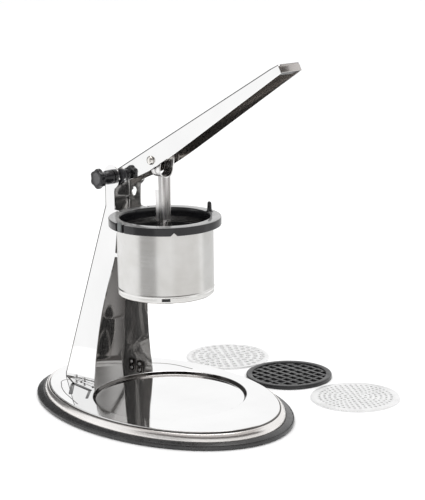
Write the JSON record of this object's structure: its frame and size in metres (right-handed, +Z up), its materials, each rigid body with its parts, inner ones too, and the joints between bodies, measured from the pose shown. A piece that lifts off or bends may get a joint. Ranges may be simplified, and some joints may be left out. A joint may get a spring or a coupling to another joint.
{
  "type": "table-top lever ricer",
  "caption": "Lever press on an oval stand: a hinged lever pushes a plunger into a round steel pot; strainer discs lie beside it.",
  "frame": {"origin": "on the mat's underside, on the pot's vertical axis", "axes": "+X is the front, the way the lever points; +Y is the side that the discs lie on; +Z is up"},
  "size_m": [0.3336, 0.299, 0.3504],
  "materials": {
    "rubber": "satin",
    "polished_steel": "mirror-polished stainless steel",
    "brushed_steel": "fine brushed",
    "plain_steel": "plain",
    "disc_steel": "bright satin",
    "black_plastic": "semi-gloss",
    "disc_plastic": "semi-gloss",
    "nylon": "matt"
  },
  "bodies": {
    "stand": {"base_mat": "rubber", "base_plate": "polished_steel", "foot_bracket": "plain_steel", "foot_rivet_near_front": "plain_steel", "foot_rivet_near_rear": "plain_steel", "foot_rivet_far_front": "plain_steel", "foot_rivet_far_rear": "plain_steel", "column": "polished_steel", "pot_ring": "black_plastic", "ring_peg": "black_plastic", "pot": "brushed_steel", "knob_collar": "black_plastic", "pivot_washer_near": "nylon", "pivot_washer_far": "nylon", "pivot_sleeve": "plain_steel", "nut_washer": "plain_steel", "pivot_nut": "plain_steel"},
    "knob": {"knob": "black_plastic", "pivot_bolt": "plain_steel"},
    "lever": {"lever": "polished_steel", "lever_end_plug": "black_plastic", "plunger_pin": "polished_steel", "pin_spacer_near": "nylon", "pin_spacer_far": "nylon"},
    "plunger": {"plunger_stem": "polished_steel", "stem_rib": "polished_steel", "stem_gusset": "polished_steel", "plunger_plate": "black_plastic"},
    "coarse_disc": {"coarse_disc": "disc_steel"},
    "grid_disc": {"grid_disc": "disc_plastic"},
    "fine_disc": {"fine_disc": "disc_steel"}
  },
  "joints": [
    {"name": "lever_hinge", "type": "hinge", "parent": "stand", "child": "lever", "pos_m": [-0.06, 0, 0.222], "axis": [0, 1, 0], "range_deg": [0, 38]},
    {"name": "plunger_swing", "type": "hinge", "parent": "lever", "child": "plunger", "pos_m": [-0.004, 0, 0.2447], "axis": [0, 1, 0], "range_deg": [-38, 0]},
    {"name": "knob_turn", "type": "hinge", "parent": "stand", "child": "knob", "pos_m": [-0.06, 0, 0.222], "axis": [0, 1, 0], "continuous": true},
    {"name": "coarse_disc_lift", "type": "slide", "parent": "stand", "child": "coarse_disc", "axis": [0, 0, 1], "range_m": [0, 0.06]},
    {"name": "grid_disc_lift", "type": "slide", "parent": "stand", "child": "grid_disc", "axis": [0, 0, 1], "range_m": [0, 0.06]},
    {"name": "fine_disc_lift", "type": "slide", "parent": "stand", "child": "fine_disc", "axis": [0, 0, 1], "range_m": [0, 0.06]}
  ],
  "couplings": [
    {"joint": "plunger_swing", "follows": "lever_hinge", "ratio": -1}
  ]
}
